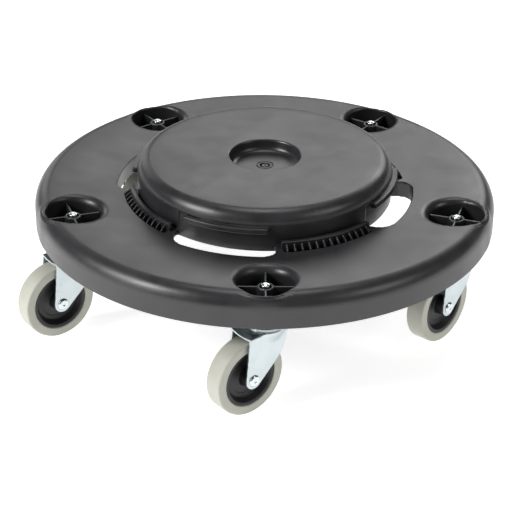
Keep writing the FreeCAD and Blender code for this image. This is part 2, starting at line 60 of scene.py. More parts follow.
RIM_HEIGHT = 131.6
RIM_ROUND = 15.5
DISH_RADIUS = 150.0
DISH_HEIGHT = 128.2
DISH_FLAT = 140.0
WALL = 4.5
EDGE_ROUND = 0.5
OVERCUT = 0.5
WELL_LOW = 98.9
# Thickness of the sheet that closes each well's foot: it keeps out light from below so the well
# renders dark, a stand-in for shade.
WELL_SHADE_SHEET = 2.5
HUB_RADIUS = 128.2
HUB_ROUND = 14.0
HUB_FOOT = 1.6
FOOT_LOW = 121.5
RECESS_RADIUS = 35.8
RECESS_TAPER = 2.5
RECESS_HEIGHT = 151.0
RECESS_LIP = 1.5
RECESS_CORNER = 4.5

GATE_SEAM = 8.0
GATE_RADIUS = 5.3
GATE_DEPTH = 2.6
STUB_RADIUS = 3.8

QUARTERS = 4
QUARTER = 360 / QUARTERS
SLOT_START = 49.7
SLOT_SPAN = 44.6
SLOT_MIDDLE = SLOT_START + SLOT_SPAN / 2
SLOT_LOW = 111.0
SLOT_WALL = 3.5
WALL_START = 7.3
SLOT_CORNER = 14.0
SLOT_SKEW = 7.5
SKEW_START = 4.0
SKEW_FULL = 14.0
SLOT_INSET = 0.6
PANEL_STEP = 0.9
LUG_RADIUS = 133.6
LUG_GAP = 3.8
LUG_SPAN = 38.0
LUG_LOW = 142.5
LUG_HIGH = 148.0
LUG_CORNER = 2.0
LUG_ROUND = 0.9
RAIL_GAP = 46.8
RAIL_SPAN = 41.0
RAIL_MIDDLE = SLOT_START + RAIL_GAP + RAIL_SPAN / 2
RAIL_INNER = 131.5
RAIL_OUTER = 136.5
RAIL_HEIGHT = 135.6
TOOTH_GAP = 48.9
TOOTH_COUNT = 13
TOOTH_PITCH = 3.04
TOOTH_REACH = 142.4
TOOTH_WIDTH = 1.6
TOOTH_HEIGHT = 133.2
POCKET_DEPTH = 3.4
POCKET_LAP = 0.6
POCKET_MARGIN = 2.6

WELL_BORE = 27.0
COLLAR_RADIUS = 29.4
COLLAR_HIGH = 130.1
COLLAR_ROUND = 1.6
COLLAR_CREASE = 0.3
COLLAR_BLEND = 7.0
COLLAR_START = 2.0
COLLAR_FULL = 16.0
FLARE_MEAN = 5.6
FLARE_LEAN = 3.7
SPIDER_HEIGHT = 124.3
SPIDER_RIB = 2.0
SPIDER_LAP = 0.8
BOSS_RADIUS = 7.9
STEM_BORE = 5.6
RIB = 3.0
HUB_RIBS = 8
HUB_RIB_LOW = 124.2
SKIRT_RIB_LOW = 104.0

STEM_RADIUS = 5.5
STEM_TOP = 127.1
TIP_RADIUS = 4.4
TIP_LOW = 119.5
FLANGE_RADIUS = 9.0
FLANGE_THICK = 2.4
RIVET_RADIUS = 7.6
RIVET_LOW = 78.2
RIVET_HIGH = 80.2
GROOVE_RADIUS = 4.5
GROOVE_LOW = 112.0
GROOVE_HIGH = 117.5
CUP_TOP = 96.4
CUP_LOW = 88.0
CUP_RADIUS = 22.0
CUP_THICK = 1.5
WASHER_RADIUS = 11.3
WASHER_THICK = 1.6
UPPER_CIRCLE = 14.0

FORK_HALF = 14.5
FORK_THICK = 2.4
SHELF_HEIGHT = 84.0
SHELF_TAIL = 28.6
SHELF_NOSE = 17.6
SHELF_DIP = 1.9
CROWN_HEIGHT = 88.6
CROWN_FOOT = 19.6
CROWN_HEAD = 17.8
CROWN_FADE = 14.0
FORK_BORE = 6.0
KNEE = (-8.2, 56.4)
LEG_ROUND = 8.9
TRAIL = 24.0
AXLE_HEIGHT = 38.1
AXLE_RADIUS = 4.0
SLEEVE_RADIUS = 5.5
HEAD_RADIUS = 5.9
HEAD_HEIGHT = 2.2
NUT_ACROSS = 13.0
NUT_THICK = 5.6
BOLT_END = 1.2

WHEEL_RADIUS = 38.1
TYRE_HALF = 9.75
TYRE_ROUND = 1.7
CORE_RADIUS = 28.6
RIM_INNER = 25.4
WEB_OUTER = 22.0
WEB_HALF = 2.5
CORE_HUB = 9.6
HUB_TIP = 8.6
HUB_HALF = 11.5

# Mesh finish: steps of the surface search, its longest move, reaches for slopes and normals (mm),
# the angle (degrees) over which an edge stays sharp, and the gap (m) under which points are merged.
SETTLE_ROUNDS = 6
SETTLE_LONGEST = 0.8
SLOPE_REACH = 0.01
NORMAL_REACH = 0.12
CREASE_ANGLE = 32.0
MERGE_GAP = 0.00001


def read_casters():
    """Stem and wheel centres of each caster, from the joints."""
    found = {}
    for joint in frame["joints"]:
        name, kind = joint["child"].rsplit("_", 1)
        key = {"swivel": "stem", "wheel": "wheel"}[kind]
        found.setdefault(name, {})[key] = Vector(joint["pos_m"])
    return found


CASTERS = read_casters()
CASTER_CIRCLE = CASTERS["front"]["stem"].xy.length / MM
WELL_ANGLE = math.degrees(math.atan2(CASTERS["front"]["stem"].y, CASTERS["front"]["stem"].x))
WELL_PITCH = 360 / len(CASTERS)


# ---- mesh tools ------------------------------------------------------------------------------


def shown(name, data):
    """A new object of the scene that shows a mesh, a light or a camera."""
    made = bpy.data.objects.new(name, data)
    bpy.context.scene.collection.objects.link(made)
    return made


def new_mesh(name, points, faces, normals=None):
    """A smooth-shaded mesh from points in millimetres."""
    mesh = bpy.data.meshes.new(name)
    mesh.from_pydata((np.asarray(points) * MM).tolist(), [], [list(face) for face in faces])
    mesh.validate()
    mesh.shade_smooth()
    if normals is not None:
        mesh.normals_split_custom_set_from_vertices(normals.tolist())
    return mesh


def new_piece(name, points, faces, normals=None):
    """A smooth-shaded mesh object from points in millimetres."""
    return shown(name, new_mesh(name, points, faces, normals))


def spaced(*runs):
    """Grid levels from runs of (start, stop, largest step)."""
    levels = [np.array([runs[0][0]], float)]
    for start, stop, step in runs:
        count = max(1, math.ceil((stop - start) / step))
        levels.append(np.linspace(start, stop, count + 1)[1:])
    return np.concatenate(levels)


def round_join(a, b, radius):
    """Union of two distances with a fillet in the corner between them."""
    near = np.hypot(np.maximum(radius - a, 0), np.maximum(radius - b, 0))
    return np.maximum(radius, np.minimum(a, b)) - near


def round_common(a, b, radius):
    """Intersection of two distances with a rounded edge."""
    return -round_join(-a, -b, radius)


def round_cut(a, tool, radius):
    """What is left of the first distance outside a tool, with a rounded edge."""
    return -round_join(-a, tool, radius)


def slope(distance, points, reach):
    """Gradient of a distance function by central differences."""
    found = np.empty_like(points)
    for axis in range(3):
        step = np.zeros(3)
        step[axis] = reach
        found[:, axis] = distance(*(points + step).T) - distance(*(points - step).T)
    return found / (2 * reach)


def settle(distance, points):
    """Moves points along the gradient onto the zero surface."""
    for _ in range(SETTLE_ROUNDS):
        lean = slope(distance, points, SLOPE_REACH)
        size = np.maximum((lean**2).sum(1), 0.05)
        shift = np.clip(distance(*points.T) / size, -SETTLE_LONGEST, SETTLE_LONGEST)
        points = points - lean * shift[:, None]
    return points


def skin_over(distance, axes, polar=False, wrap=False):
    """Points, quads and normals of a distance function's surface, found cell by cell on a grid.

    A polar grid runs over radius, angle and height, and wraps round when its angles fill a turn."""
    grid = np.meshgrid(*axes, indexing="ij")
    if polar:
        grid = [grid[0] * np.cos(grid[1]), grid[0] * np.sin(grid[1]), grid[2]]
    value = distance(*grid)
    levels = list(axes)
    if wrap:
        value = np.concatenate([value, value[:, :1]], axis=1)
        levels[1] = np.append(axes[1], axes[1][0] + 2 * math.pi)
    cells = tuple(count - 1 for count in value.shape)
    total = np.zeros((3,) + cells)
    count = np.zeros(cells)
    edges = []
    for axis in range(3):
        along = [slice(None)] * 3
        along[axis] = slice(0, -1)
        low = value[tuple(along)]
        along[axis] = slice(1, None)
        high = value[tuple(along)]
        crossed = (low < 0) != (high < 0)
        part = np.where(crossed, low / np.where(crossed, low - high, 1), 0)
        edges.append((crossed, low < 0))
        spots = np.indices(crossed.shape).astype(float)
        spots[axis] += part
        spots *= crossed
        across = [other for other in range(3) if other != axis]
        for first in (0, 1):
            for second in (0, 1):
                window = [slice(0, cells[axis])] * 3
                window[across[0]] = slice(first, first + cells[across[0]])
                window[across[1]] = slice(second, second + cells[across[1]])
                count += crossed[tuple(window)]
                total += spots[(slice(None),) + tuple(window)]
    active = count > 0
    label = np.full(cells, -1)
    label[active] = np.arange(int(active.sum()))
    places = []
    for axis in range(3):
        place = total[axis][active] / count[active]
        places.append(np.interp(place, np.arange(len(levels[axis])), levels[axis]))
    if polar:
        radius, angle = places[0], places[1]
        places = [radius * np.cos(angle), radius * np.sin(angle), places[2]]
    quads = []
    for axis in range(3):
        first, second = (axis + 1) % 3, (axis + 2) % 3
        crossed, inside = edges[axis]
        at = np.argwhere(crossed)
        roomy = np.ones(len(at), bool)
        for other in (first, second):
            if wrap and other == 1:
                roomy &= at[:, other] < cells[other]
            else:
                roomy &= (at[:, other] > 0) & (at[:, other] < cells[other])
        at = at[roomy]
        corners = []
        for back, down in ((1, 1), (0, 1), (0, 0), (1, 0)):
            spot = at.copy()
            spot[:, first] -= back
            spot[:, second] -= down
            if wrap:
                spot[:, 1] %= cells[1]
            corners.append(label[tuple(spot.T)])
        corners = np.stack(corners, axis=1)
        outward = inside[tuple(at.T)]
        quads.append(np.where(outward[:, None], corners, corners[:, ::-1]))
    points = settle(distance, np.stack(places, axis=1))
    normals = slope(distance, points, NORMAL_REACH)
    normals /= np.maximum(np.linalg.norm(normals, axis=1), 1e-9)[:, None]
    return points, np.concatenate(quads), normals


def softened(corners, steps):
    """A closed outline from (across, up, round) corners, each turned into an arc of that radius.

    A corner with no radius, or one that is nearly straight, stays a point. No arc takes up more
    than just under half of a side."""
    path = []
    for index, (across, up, radius) in enumerate(corners):
        here = Vector((across, up))
        before = Vector(corners[index - 1][:2]) - here
        after = Vector(corners[(index + 1) % len(corners)][:2]) - here
        if radius <= 0 or before.length < 1e-6 or after.length < 1e-6:
            path.append(here)
            continue
        opening = before.angle(after)
        if math.pi - opening < 0.02:
            path.append(here)
            continue
        reach = min(radius / math.tan(opening / 2), 0.49 * before.length, 0.49 * after.length)
        radius = reach * math.tan(opening / 2)
        middle = (before.normalized() + after.normalized()).normalized()
        centre = here + middle * (radius / math.sin(opening / 2))
        start = here + before.normalized() * reach - centre
        stop = here + after.normalized() * reach - centre
        sweep = start.angle_signed(stop)
        for step in range(steps + 1):
            path.append(centre + Matrix.Rotation(-sweep * step / steps, 2) @ start)
    return path


def turned(name, corners, segments=96, steps=5):
    """A piece turned about Z from a closed outline of (radius, height, round) corners."""
    path = softened(corners, steps)
    points, faces = [], []
    for turn in range(segments):
        angle = 2 * math.pi * turn / segments
        points += [(p.x * math.cos(angle), p.x * math.sin(angle), p.y) for p in path]
    size = len(path)
    for turn in range(segments):
        here, after = turn * size, (turn + 1) % segments * size
        for index in range(size):
            beyond = (index + 1) % size
            faces.append((here + index, after + index, after + beyond, here + beyond))
    return new_piece(name, points, faces)


def crisp(piece):
    """Keeps creases over an angle sharp, so that flat and turned faces shade cleanly."""
    merge = piece.modifiers.new("merge", "WELD")
    merge.merge_threshold = MERGE_GAP
    with bpy.context.temp_override(object=piece, active_object=piece, selected_objects=[piece]):
        bpy.ops.object.modifier_apply(modifier="merge")
        bpy.ops.object.shade_smooth_by_angle(angle=math.radians(CREASE_ANGLE))
    return piece


# ---- materials -------------------------------------------------------------------------------


def blank_material(name):
    """A new material with its node tree and its shader."""
    material = bpy.data.materials.new(name)
    material.use_nodes = True
    shader = material.node_tree.nodes["Principled BSDF"]
    return material, material.node_tree, shader


def noise(tree, scale, detail=3.0, rough=0.55):
    """Noise over the piece's own coordinates."""
    where = tree.nodes.new("ShaderNodeTexCoord")
    made = tree.nodes.new("ShaderNodeTexNoise")
    made.inputs["Scale"].default_value = scale
    made.inputs["Detail"].default_value = detail
    made.inputs["Roughness"].default_value = rough
    tree.links.new(where.outputs["Object"], made.inputs["Vector"])
    return made.outputs["Fac"]


def spread(tree, source, low, high, dark, light):
    """Maps a value's range from low..high onto dark..light."""
    made = tree.nodes.new("ShaderNodeMapRange")
    tree.links.new(source, made.inputs["Value"])
    limits = {"From Min": low, "From Max": high, "To Min": dark, "To Max": light}
    for socket, number in limits.items():
        made.inputs[socket].default_value = number
    return made.outputs["Result"]


def tint(tree, source, stops):
    """A colour ramp from (place, colour) stops."""
    made = tree.nodes.new("ShaderNodeValToRGB")
    ramp = made.color_ramp
    ramp.elements[0].position, ramp.elements[0].color = stops[0][0], (*stops[0][1], 1)
    ramp.elements[1].position, ramp.elements[1].color = stops[-1][0], (*stops[-1][1], 1)
    for place, colour in stops[1:-1]:
        ramp.elements.new(place).color = (*colour, 1)
    tree.links.new(source, made.inputs["Fac"])
    return made.outputs["Color"]


def blended(tree, first, second, share):
    """Two values mixed by a fixed share of the second."""
    made = tree.nodes.new("ShaderNodeMix")
    made.inputs["Factor"].default_value = share
    tree.links.new(first, made.inputs["A"])
    tree.links.new(second, made.inputs["B"])
    return made.outputs["Result"]


def bumped(tree, shader, source, strength, depth):
    """Gives a shader a fine relief from a value."""
    made = tree.nodes.new("ShaderNodeBump")
    made.inputs["Strength"].default_value = strength
    made.inputs["Distance"].default_value = depth
    tree.links.new(source, made.inputs["Height"])
    tree.links.new(made.outputs["Normal"], shader.inputs["Normal"])


def deck_plastic():
    """Charcoal polyethylene with a fine moulded grain and a faintly clouded sheen."""
    material, tree, shader = blank_material("deck_plastic")
    cloud = blended(tree, noise(tree, 9.0, 4.0, 0.6), noise(tree, 38.0, 3.0, 0.6), 0.45)
    grain = noise(tree, 900.0, 2.0, 0.5)
    colour = tint(tree, cloud, [(0.35, (0.014, 0.014, 0.0158)), (0.65, (0.029, 0.0285, 0.0315))])
    tree.links.new(colour, shader.inputs["Base Color"])
    tree.links.new(spread(tree, cloud, 0.35, 0.65, 0.3, 0.43), shader.inputs["Roughness"])
    bumped(tree, shader, blended(tree, grain, noise(tree, 70.0), 0.6), 0.16, 0.0005)
    shader.inputs["Specular IOR Level"].default_value = 0.7
    return material


def core_plastic():
    """Black polypropylene of the wheel cores."""
    material, tree, shader = blank_material("core_plastic")
    cloud = noise(tree, 60.0)
    colour = tint(tree, cloud, [(0.3, (0.009, 0.009, 0.011)), (0.7, (0.016, 0.015, 0.017))])
    tree.links.new(colour, shader.inputs["Base Color"])
    tree.links.new(spread(tree, cloud, 0.3, 0.7, 0.38, 0.5), shader.inputs["Roughness"])
    bumped(tree, shader, noise(tree, 700.0, 2.0), 0.1, 0.0003)
    return material


def tyre_rubber():
    """Warm grey thermoplastic rubber, with a dusty, slightly uneven tread."""
    material, tree, shader = blank_material("tyre_rubber")
    cloud = noise(tree, 45.0, 4.0, 0.6)
    colour = tint(tree, cloud, [(0.3, (0.48, 0.48, 0.41)), (0.7, (0.54, 0.54, 0.47))])
    tree.links.new(colour, shader.inputs["Base Color"])
    tree.links.new(spread(tree, cloud, 0.3, 0.7, 0.42, 0.55), shader.inputs["Roughness"])
    bumped(tree, shader, noise(tree, 500.0, 2.0), 0.1, 0.0003)
    return material


def plated(name, dark, light, smooth, dull):
    """Zinc-plated steel: a metal with patchy brightness and a faint brushed unevenness."""
    material, tree, shader = blank_material(name)
    cloud = noise(tree, 55.0, 4.0, 0.6)
    tree.links.new(tint(tree, cloud, [(0.3, dark), (0.7, light)]), shader.inputs["Base Color"])
    tree.links.new(spread(tree, cloud, 0.3, 0.7, smooth, dull), shader.inputs["Roughness"])
    bumped(tree, shader, noise(tree, 260.0), 0.06, 0.0003)
    shader.inputs["Metallic"].default_value = 1.0
    return material


MATERIALS = {
    "deck_plastic": deck_plastic(),
    "core_plastic": core_plastic(),
    "tyre_rubber": tyre_rubber(),
    "zinc_plate": plated("zinc_plate", (0.54, 0.60, 0.62), (0.62, 0.68, 0.70), 0.26, 0.36),
    "zinc_bright": plated("zinc_bright", (0.66, 0.71, 0.72), (0.76, 0.80, 0.81), 0.2, 0.3),
    # The race cup's zinc plating, made darker as painted shade: the cup sits in shade under the
    # deck and reflects its dark underside.
    "race_steel": plated("race_steel", (0.30, 0.34, 0.35), (0.40, 0.44, 0.45), 0.22, 0.32),
    "spring_steel": plated("spring_steel", (0.34, 0.34, 0.35), (0.44, 0.44, 0.45), 0.3, 0.4),
    "ball_steel": plated("ball_steel", (0.62, 0.62, 0.63), (0.7, 0.7, 0.71), 0.08, 0.15),
}


def finish(piece, slot, body, node):
    """Gives a piece its material, its body and the CAD node that it stands for."""
    if not piece.data.materials:
        piece.data.materials.append(MATERIALS[slot])
    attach(piece, body)
    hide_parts(node)


# ---- the deck --------------------------------------------------------------------------------


def folded(angle, first, pitch):
    """Angle from the nearest of a ring of features."""
    return (angle - first + pitch / 2) % pitch - pitch / 2


def fade(value, start, stop):
    """Smooth step from 0 at start to 1 at stop."""
    share = np.clip((value - start) / (stop - start), 0, 1)
    return share * share * (3 - 2 * share)


def well_place(r, angle):
    """Place about the nearest caster's axis: how far outward, and the distance from it."""
    turn = np.radians(folded(angle, WELL_ANGLE, WELL_PITCH))
    outward = r * np.cos(turn) - CASTER_CIRCLE
    return outward, np.hypot(outward, r * np.sin(turn))


def arc_box(r, angle, middle, span, inner, outer, corner):
    """Distance to a ring sector seen from above, with its two outer corners rounded."""
    past = folded(angle, middle, QUARTER)
    beyond = r * np.sin(np.radians(np.minimum(np.abs(past) - span / 2, 80)))
    return np.maximum(round_common(r - outer, beyond, corner), inner - r)


def deck_skin(x, y, z):
    """The moulded shell: rolled rim, dish, hollow hub, centre recess, wells, slots and lugs."""
    r = np.hypot(x, y)
    angle = np.degrees(np.arctan2(y, x))
    rise = fade(r, DISH_FLAT, DECK_RADIUS - RIM_ROUND)
    dish = DISH_HEIGHT + (RIM_HEIGHT - DISH_HEIGHT) * rise
    disc = round_common(z - dish, r - DECK_RADIUS, RIM_ROUND)
    hub = round_common(z - HUB_HEIGHT, r - HUB_RADIUS, HUB_ROUND)
    outward, from_well = well_place(r, angle)
    beside, above = from_well - COLLAR_RADIUS, z - COLLAR_HIGH
    collar = np.maximum(round_common(beside, above, COLLAR_ROUND), COLLAR_START - outward)
    ease = fade(beside - above, 0, COLLAR_BLEND) * fade(outward, COLLAR_START, COLLAR_FULL)
    blend = COLLAR_CREASE + (COLLAR_BLEND - COLLAR_CREASE) * ease
    solid = round_join(round_join(disc, collar, blend), hub, HUB_FOOT)
    wall_radius = RECESS_RADIUS + RECESS_TAPER * (z - HUB_HEIGHT) / (HUB_HEIGHT - RECESS_HEIGHT)
    recess = round_common(r - wall_radius, RECESS_HEIGHT - z, RECESS_CORNER)
    solid = round_cut(solid, recess, RECESS_LIP)
    lip = FLARE_MEAN - FLARE_LEAN * np.clip(outward / WELL_BORE, -1, 1)
    solid = round_cut(solid, from_well - WELL_BORE, lip)

    shell = np.maximum(solid, -(solid + WALL))
    foot = np.abs(r - HUB_RADIUS + WALL / 2) - WALL / 2
    foot = np.maximum(foot, np.maximum(z - DISH_HEIGHT, FOOT_LOW - z))
    shell = np.minimum(shell, foot)

    # The hub wall steps in over each slot, and a thin wall hangs down round the slot's outside.
    past_middle = folded(angle, SLOT_MIDDLE, QUARTER)
    inner = HUB_RADIUS - PANEL_STEP * np.clip(0.5 - past_middle / SLOT_SPAN, 0, 1)
    outer = DISH_RADIUS - SLOT_INSET
    corner = SLOT_CORNER + SLOT_SKEW * fade(-past_middle, SKEW_START, SKEW_FULL)
    slot = arc_box(r, angle, SLOT_MIDDLE, SLOT_SPAN, inner, outer, corner)
    hung = np.maximum(np.maximum(slot - SLOT_WALL, SLOT_LOW - z), z - DISH_HEIGHT + 1)
    along = r * np.radians(past_middle + SLOT_SPAN / 2)
    hung = np.maximum(hung, WALL_START - along)
    shell = np.minimum(shell, np.maximum(hung, inner - r))
    shell = round_cut(shell, np.maximum(slot, z - LUG_HIGH - OVERCUT), EDGE_ROUND)

    lug_middle = SLOT_START + LUG_GAP + LUG_SPAN / 2
    lug = arc_box(r, angle, lug_middle, LUG_SPAN, HUB_RADIUS - 2, LUG_RADIUS, LUG_CORNER)
    slab = np.abs(z - (LUG_LOW + LUG_HIGH) / 2) - (LUG_HIGH - LUG_LOW) / 2
    lug = round_common(lug, slab, LUG_ROUND)
    shell = np.minimum(shell, lug)

    span = RAIL_SPAN - POCKET_MARGIN
    outer = TOOTH_REACH - POCKET_LAP
    trough = arc_box(r, angle, RAIL_MIDDLE, span, RAIL_INNER + 1, outer, 0.8)
    shell = round_cut(shell, np.maximum(trough, DISH_HEIGHT - POCKET_DEPTH - z), EDGE_ROUND)

    edge = np.where(from_well < WELL_BORE + 6, WELL_LOW, SKIRT_EDGE)
    shell = round_common(shell, edge - z, EDGE_ROUND)
    return np.maximum(shell, GATE_SEAM - r)


def rail_teeth(x, y, z):
    """One raised band with its row of thin radial teeth, drawn about the X axis."""
    r = np.hypot(x, y)
    angle = np.degrees(np.arctan2(y, x))
    end = r * np.sin(np.radians(np.abs(angle) - RAIL_SPAN / 2))
    band = np.abs(r - (RAIL_INNER + RAIL_OUTER) / 2) - (RAIL_OUTER - RAIL_INNER) / 2
    band = round_common(band, end, EDGE_ROUND)
    band = round_common(band, z - RAIL_HEIGHT, 0.8)
    half = TOOTH_PITCH / 2
    first = TOOTH_GAP - RAIL_GAP - RAIL_SPAN / 2
    row = np.clip(np.round((angle - first) / TOOTH_PITCH), 0, TOOTH_COUNT - 1)
    across = r * np.sin(np.radians(np.clip(angle - first - row * TOOTH_PITCH, -half, half)))
    run = (r - RAIL_OUTER) / (TOOTH_REACH - RAIL_OUTER)
    drop = TOOTH_HEIGHT - DISH_HEIGHT - 0.6
    top = TOOTH_HEIGHT - drop * np.clip(run, 0, 1.2) ** 1.6
    tooth = round_common(np.abs(across) - TOOTH_WIDTH / 2, z - top, EDGE_ROUND)
    tooth = np.maximum(np.maximum(tooth, r - TOOTH_REACH), RAIL_INNER + 1 - r)
    return np.maximum(round_join(band, tooth, 0.6), DISH_HEIGHT - POCKET_DEPTH - POCKET_LAP - z)


def spider(x, y, z):
    """Stem boss on four thin ribs that cross the well."""
    from_axis = np.hypot(x, y)
    boss = round_common(from_axis - BOSS_RADIUS, z - SPIDER_HEIGHT, 0.9)
    arm = np.minimum(np.abs(x), np.abs(y)) - SPIDER_RIB / 2
    arm = round_common(arm, z - SPIDER_HEIGHT + 0.3, EDGE_ROUND)
    rim = from_axis - WELL_BORE - SPIDER_LAP
    arm = np.maximum(arm, rim)
    made = round_join(boss, arm, 1.2)
    # A sheet across the well's foot, added as a stand-in for shade: it blocks light from below so
    # the well's inside renders dark.
    floor = np.abs(z - WELL_LOW - WELL_SHADE_SHEET / 2) - WELL_SHADE_SHEET / 2
    made = round_join(made, round_common(rim, floor, 0.3), 0.8)
    made = round_cut(made, from_axis - STEM_BORE, EDGE_ROUND)
    return np.maximum(made, WELL_LOW - z)


def build_skin():
    """The moulded shell, meshed finely only where its shape turns."""
    coarse = 1.2
    radii = spaced(
        (4, 10, 2.0),
        (10, 26, 8),
        (26, 39.5, 1.3 * coarse),
        (39.5, 114, 17),
        (114, 126, 1.8 * coarse),
        (126, 154.5, 1.5 * coarse),
        (154.5, 164, 3.2),
        (164, 212, 2.2 * coarse),
        (212, 235, 1.45 * coarse),
    )
    heights = spaced(
        (97, 101, 1.4 * coarse),
        (101, 109, 4),
        (109, 112.6, 1.2 * coarse),
        (112.6, 121, 2.8),
        (121, 134, 1.3 * coarse),
        (134, 140, 3),
        (140, 151, 1.25 * coarse),
        (151, 164.2, 1.3 * coarse),
    )
    count = 348
    angles = np.linspace(-math.pi, math.pi, count, endpoint=False)
    parts = skin_over(deck_skin, (radii, angles, heights), polar=True, wrap=True)
    finish(new_piece("deck_skin", *parts), "deck_plastic", "root", "deck")


def build_rails():
    """Four toothed rails that share one mesh."""
    reach = math.radians(RAIL_SPAN / 2 + 1)
    axes = (
        spaced((RAIL_INNER - 1.2, TOOTH_REACH + 1.2, 0.9)),
        spaced((-reach, reach, math.radians(0.27))),
        spaced((DISH_HEIGHT - 5.2, RAIL_HEIGHT + 1, 0.9)),
    )
    mesh = new_mesh("deck_rail", *skin_over(rail_teeth, axes, polar=True))
    for index in range(QUARTERS):
        rail = shown(f"deck_rail_{index + 1}", mesh)
        turn = math.radians(RAIL_MIDDLE) + math.radians(QUARTER * index)
        rail.matrix_world = Matrix.Rotation(turn, 4, "Z")
        finish(rail, "deck_plastic", "root", "deck")


def build_gate():
    """The round gate mark in the middle of the recess, with its stub."""
    gate = turned(
        "deck_gate",
        [
            (0, RECESS_HEIGHT - GATE_DEPTH + 1.4, 0),
            (0, RECESS_HEIGHT - WALL, 0),
            (GATE_SEAM + 0.02, RECESS_HEIGHT - WALL, 0),
            (GATE_SEAM + 0.02, RECESS_HEIGHT - 0.35, 0),
            (GATE_SEAM - 0.5, RECESS_HEIGHT - 0.35, 0.2),
            (GATE_SEAM - 0.9, RECESS_HEIGHT, 0.2),
            (GATE_RADIUS, RECESS_HEIGHT, 0.35),
            (GATE_RADIUS - 0.2, RECESS_HEIGHT - GATE_DEPTH, 0.4),
            (STUB_RADIUS, RECESS_HEIGHT - GATE_DEPTH, 0.3),
            (STUB_RADIUS - 0.3, RECESS_HEIGHT - 0.2, 0.5),
            (STUB_RADIUS - 2.2, RECESS_HEIGHT - 0.1, 0.5),
        ],
        segments=64,
    )
    finish(crisp(gate), "deck_plastic", "root", "deck")


def build_spiders():
    """A stem boss with its ribs in each well, all sharing one mesh, and a sheet across each well's
    foot that keeps out light from below so the well's inside renders dark, a stand-in for shade.
    """
    flat = spaced((-29, -12, 4), (-12, -2, 0.9), (-2, 2, 0.5), (2, 12, 0.9), (12, 29, 4))
    upright = spaced((98, 103, 0.7), (103, 121, 6), (121, 125.5, 0.6))
    mesh = new_mesh("deck_spider", *skin_over(spider, (flat, flat, upright)))
    for name, caster in CASTERS.items():
        piece = shown(f"deck_spider_{name}", mesh)
        outward = math.atan2(caster["stem"].y, caster["stem"].x)
        spot = Matrix.Translation((caster["stem"].x, caster["stem"].y, 0))
        piece.matrix_world = spot @ Matrix.Rotation(outward, 4, "Z")
        finish(piece, "deck_plastic", "root", "deck")


def rib_box(near, far, low, high, angle):
    """Corners of one radial rib under the deck."""
    turn = Matrix.Rotation(math.radians(angle), 3, "Z")
    half = RIB / 2
    flat = [(near, -half), (far, -half), (far, half), (near, half)]
    return [turn @ Vector((x, y, z)) for z in (low, high) for x, y in flat]


def in_slot(angle):
    """Whether a heading from the deck's middle crosses a slot."""
    return abs(folded(angle, SLOT_MIDDLE, QUARTER)) <= SLOT_SPAN / 2


def build_ribs():
    """Radial stiffening ribs inside the hub and out to the skirt, with eased edges."""
    boxes = []
    hub_reach = HUB_RADIUS - WALL + 0.5
    hub_high = HUB_HEIGHT - WALL + 1
    skirt_reach = DECK_RADIUS - WALL + 0.5
    for index in range(HUB_RIBS):
        turn = 360 / HUB_RIBS * (index + 0.5)
        boxes.append(rib_box(RECESS_RADIUS + 1, hub_reach, HUB_RIB_LOW, hub_high, turn))
    for index in range(len(CASTERS)):
        for shift, far in ((0, CASTER_CIRCLE - WELL_BORE - 2), (WELL_PITCH / 2, skirt_reach)):
            turn = WELL_ANGLE + WELL_PITCH * index + shift
            near = DISH_RADIUS + SLOT_WALL - 1 if in_slot(turn) else HUB_RADIUS - 1
            boxes.append(rib_box(near, far, SKIRT_RIB_LOW, DISH_HEIGHT - 2, turn))
    points, faces = [], []
    for box in boxes:
        base = len(points)
        points += box
        sides = [(i, (i + 1) % 4, (i + 1) % 4 + 4, i + 4) for i in range(4)]
        faces += [tuple(base + i for i in face) for face in [(3, 2, 1, 0), (4, 5, 6, 7)] + sides]
    piece = new_piece("deck_ribs", points, faces)
    bevel = piece.modifiers.new("eased", "BEVEL")
    bevel.width = EDGE_ROUND * MM
    bevel.segments = 2
    finish(crisp(piece), "deck_plastic", "root", "deck")


# ---- casters ---------------------------------------------------------------------------------


def fork_shape(x, y, z):
    """Pressed fork: two legs under a shelf that dips to its tail and swells into the raceway."""
    from_axis = np.hypot(x, y)
    rise = (z - SHELF_HEIGHT) / (CROWN_HEIGHT - SHELF_HEIGHT)
    below = np.clip((SHELF_HEIGHT - z) / CROWN_FADE, 0, 1)
    crown_radius = CROWN_FOOT + (CROWN_HEAD - CROWN_FOOT) * np.clip(rise, 0, 1)
    crown_radius = crown_radius - (CROWN_FOOT - FORK_HALF + 3) * below**1.5
    crown = round_common(from_axis - crown_radius, z - CROWN_HEIGHT, 1.4)
    dip = SHELF_DIP * (1 - np.clip(y / FORK_HALF, -1, 1) ** 2) * fade(x, 14, SHELF_TAIL)
    block = round_common(np.abs(y) - FORK_HALF, z - SHELF_HEIGHT + dip, 2.0)
    outer = round_join(block, crown, 2.6)
    sheet = np.maximum(outer, -(outer + FORK_THICK))

    side = leg_side(x, z)
    crown_disc = np.maximum(from_axis - CROWN_FOOT - 0.6, SHELF_HEIGHT - 9 - z)
    side = np.minimum(side, np.maximum(crown_disc, x - 4))
    sheet = round_common(sheet, side, 0.3)
    sheet = round_cut(sheet, np.hypot(x - TRAIL, z - AXLE_HEIGHT) - AXLE_RADIUS - 0.1, 0.3)
    return round_cut(sheet, from_axis - FORK_BORE, 0.3)


